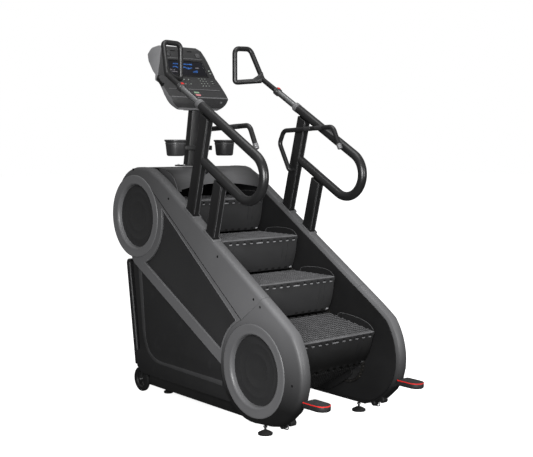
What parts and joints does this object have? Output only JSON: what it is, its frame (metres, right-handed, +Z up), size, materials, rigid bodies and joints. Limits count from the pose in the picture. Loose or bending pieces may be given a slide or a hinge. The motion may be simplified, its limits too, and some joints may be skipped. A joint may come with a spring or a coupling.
{
  "type": "stair climber",
  "caption": "Upright stair climbing machine: moving steps between two round-ended side covers, looped handrails with telescoping handles, console on a mast",
  "frame": {"origin": "on the floor under the middle of the bounding box", "axes": "+X to the user's right, +Y the way the user faces, +Z up"},
  "size_m": [0.838, 2.0178, 2.264],
  "materials": {
    "frame_paint": "satin black powder coat",
    "cover": "fine-grained charcoal moulding",
    "dark_panel": "fine-grained black moulding",
    "bezel": "satin grey moulding",
    "cast_housing": "painted casting",
    "pulley_steel": "turned",
    "shaft_steel": "turned",
    "handle_steel": "polished tube, dark grip",
    "chain_steel": "oiled",
    "rail_grip": "moulded rubber grip",
    "step_plastic": "ribbed moulding",
    "console_plastic": "fine-grained moulding",
    "display_glass": "gloss black window",
    "tray_plastic": "moulded",
    "belt_rubber": "ribbed belt",
    "pad_rubber": "moulded rubber tread with red edge",
    "foot_rubber": "moulded",
    "wheel_rubber": "moulded",
    "red_key": "satin red",
    "green_key": "satin green"
  },
  "bodies": {
    "frame": {"base_frame": "frame_paint", "hood": "cover", "rear_cover": "dark_panel", "alternator": "cast_housing", "console_mast": "frame_paint", "console_housing": "console_plastic", "console_display": "display_glass", "tray_bracket": "frame_paint", "drive_belt": "belt_rubber", "side_frame_left": "frame_paint", "side_frame_right": "frame_paint", "side_shell_left": "cover", "side_shell_right": "cover", "nose_cover_left": "cover", "nose_cover_right": "cover", "upper_panel_left": "dark_panel", "upper_panel_right": "dark_panel", "lower_panel_left": "dark_panel", "lower_panel_right": "dark_panel", "upper_disc_left": "bezel", "upper_disc_right": "bezel", "lower_disc_left": "bezel", "lower_disc_right": "bezel", "inner_wall_left": "dark_panel", "inner_wall_right": "dark_panel", "front_post_left": "frame_paint", "front_post_right": "frame_paint", "rear_post_left": "frame_paint", "rear_post_right": "frame_paint", "handrail_left": "rail_grip", "handrail_right": "rail_grip", "grip_bar_left": "rail_grip", "grip_bar_right": "rail_grip", "step_chain_left": "chain_steel", "step_chain_right": "chain_steel", "step_pad_left": "pad_rubber", "step_pad_right": "pad_rubber", "cup_tray_left": "tray_plastic", "cup_tray_right": "tray_plastic"},
    "upper_steps": {"step_3": "step_plastic", "step_4": "step_plastic", "step_5": "step_plastic"},
    "lower_step": {"step_2": "step_plastic"},
    "folded_step": {"step_1": "step_plastic"},
    "alternator_pulley": {"alternator_pulley": "pulley_steel"},
    "drive_shaft": {"drive_shaft": "shaft_steel"},
    "idler_shaft": {"idler_shaft": "shaft_steel"},
    "start_key": {"start_key": "green_key"},
    "stop_key": {"stop_key": "red_key"},
    "extension_handle_left": {"extension_handle_left": "handle_steel"},
    "extension_handle_right": {"extension_handle_right": "handle_steel"},
    "release_button_left": {"release_button_left": "red_key"},
    "release_button_right": {"release_button_right": "red_key"},
    "front_foot_left": {"front_foot_left": "foot_rubber"},
    "front_foot_right": {"front_foot_right": "foot_rubber"},
    "rear_foot_left": {"rear_foot_left": "foot_rubber"},
    "rear_foot_right": {"rear_foot_right": "foot_rubber"},
    "transport_wheel_left": {"transport_wheel_left": "wheel_rubber"},
    "transport_wheel_right": {"transport_wheel_right": "wheel_rubber"}
  },
  "joints": [
    {"name": "stair_travel", "type": "slide", "parent": "frame", "child": "upper_steps", "axis": [0, -0.8315, -0.5556], "range_m": [0, 0.1]},
    {"name": "lower_step_tilt", "type": "hinge", "parent": "upper_steps", "child": "lower_step", "pos_m": [0, -0.291, 0.58576], "axis": [1, 0, 0], "range_deg": [0, 35]},
    {"name": "folded_step_tilt", "type": "hinge", "parent": "lower_step", "child": "folded_step", "pos_m": [0, -0.58899, 0.30975], "axis": [1, 0, 0], "range_deg": [-8, 0]},
    {"name": "idler_spin", "type": "hinge", "parent": "frame", "child": "idler_shaft", "pos_m": [0, -0.45596, 0.31534], "axis": [1, 0, 0], "range_deg": [0, 45]},
    {"name": "drive_spin", "type": "hinge", "parent": "frame", "child": "drive_shaft", "pos_m": [0, 0.75433, 1.12406], "axis": [1, 0, 0], "range_deg": [0, 45]},
    {"name": "alternator_spin", "type": "hinge", "parent": "frame", "child": "alternator_pulley", "pos_m": [0, 0.5, 0.52], "axis": [1, 0, 0], "range_deg": [0, 165]},
    {"name": "handle_slide_left", "type": "slide", "parent": "frame", "child": "extension_handle_left", "axis": [0, 0.8669, 0.4985], "range_m": [-0.13, 0.05]},
    {"name": "release_press_left", "type": "slide", "parent": "extension_handle_left", "child": "release_button_left", "axis": [0, 0.4985, -0.8669], "range_m": [0, 0.003], "stiffness_N_per_m": 900},
    {"name": "front_foot_screw_left", "type": "slide", "parent": "frame", "child": "front_foot_left", "axis": [0, 0, 1], "range_m": [-0.012, 0]},
    {"name": "rear_foot_screw_left", "type": "slide", "parent": "frame", "child": "rear_foot_left", "axis": [0, 0, 1], "range_m": [-0.012, 0]},
    {"name": "wheel_spin_left", "type": "hinge", "parent": "frame", "child": "transport_wheel_left", "pos_m": [-0.379, 0.728, 0.083], "axis": [1, 0, 0], "continuous": true},
    {"name": "handle_slide_right", "type": "slide", "parent": "frame", "child": "extension_handle_right", "axis": [0, 0.8669, 0.4985], "range_m": [-0.13, 0.05]},
    {"name": "release_press_right", "type": "slide", "parent": "extension_handle_right", "child": "release_button_right", "axis": [0, 0.4985, -0.8669], "range_m": [0, 0.003], "stiffness_N_per_m": 900},
    {"name": "front_foot_screw_right", "type": "slide", "parent": "frame", "child": "front_foot_right", "axis": [0, 0, 1], "range_m": [-0.012, 0]},
    {"name": "rear_foot_screw_right", "type": "slide", "parent": "frame", "child": "rear_foot_right", "axis": [0, 0, 1], "range_m": [-0.012, 0]},
    {"name": "wheel_spin_right", "type": "hinge", "parent": "frame", "child": "transport_wheel_right", "pos_m": [0.379, 0.728, 0.083], "axis": [1, 0, 0], "continuous": true},
    {"name": "start_press", "type": "slide", "parent": "frame", "child": "start_key", "axis": [0, 0.6996, -0.7145], "range_m": [0, 0.002], "stiffness_N_per_m": 900},
    {"name": "stop_press", "type": "slide", "parent": "frame", "child": "stop_key", "axis": [0, 0.6996, -0.7145], "range_m": [0, 0.002], "stiffness_N_per_m": 900}
  ],
  "couplings": [
    {"joint": "lower_step_tilt", "follows": "stair_travel", "rad_per_m": 5.95},
    {"joint": "folded_step_tilt", "follows": "stair_travel", "rad_per_m": -1.27},
    {"joint": "idler_spin", "follows": "stair_travel", "rad_per_m": 7.5075},
    {"joint": "drive_spin", "follows": "stair_travel", "rad_per_m": 7.5075},
    {"joint": "alternator_spin", "follows": "stair_travel", "rad_per_m": 28.153}
  ]
}
